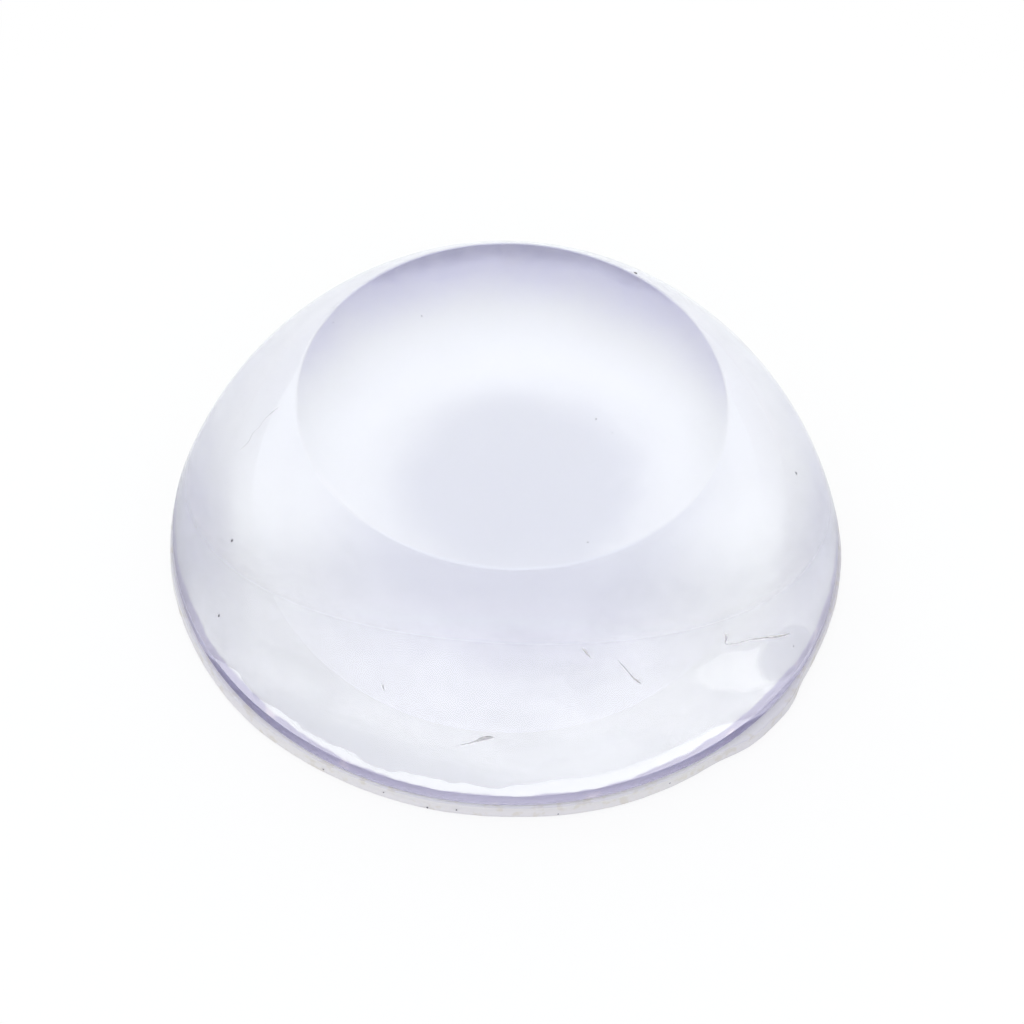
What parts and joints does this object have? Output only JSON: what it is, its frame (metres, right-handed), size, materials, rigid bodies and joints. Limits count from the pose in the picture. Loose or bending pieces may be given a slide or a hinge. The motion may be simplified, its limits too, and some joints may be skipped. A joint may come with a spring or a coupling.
{
  "type": "cabinet door bumper",
  "caption": "Clear round stick-on bumper: a flat-topped elastomer dome with a bulging side on a thin milky adhesive disc.",
  "frame": {"origin": "centre of the adhesive face, which is the face that sticks to the door", "axes": "+Z out of the strike face, along the body's turning axis; -Y is the side that faces the picture's camera"},
  "size_m": [0.0101, 0.0101, 0.0033],
  "materials": {
    "clear_elastomer": "gloss",
    "milky_adhesive": "satin"
  },
  "bodies": {
    "root": {"bumper_body": "clear_elastomer", "adhesive_pad": "milky_adhesive"}
  },
  "joints": []
}
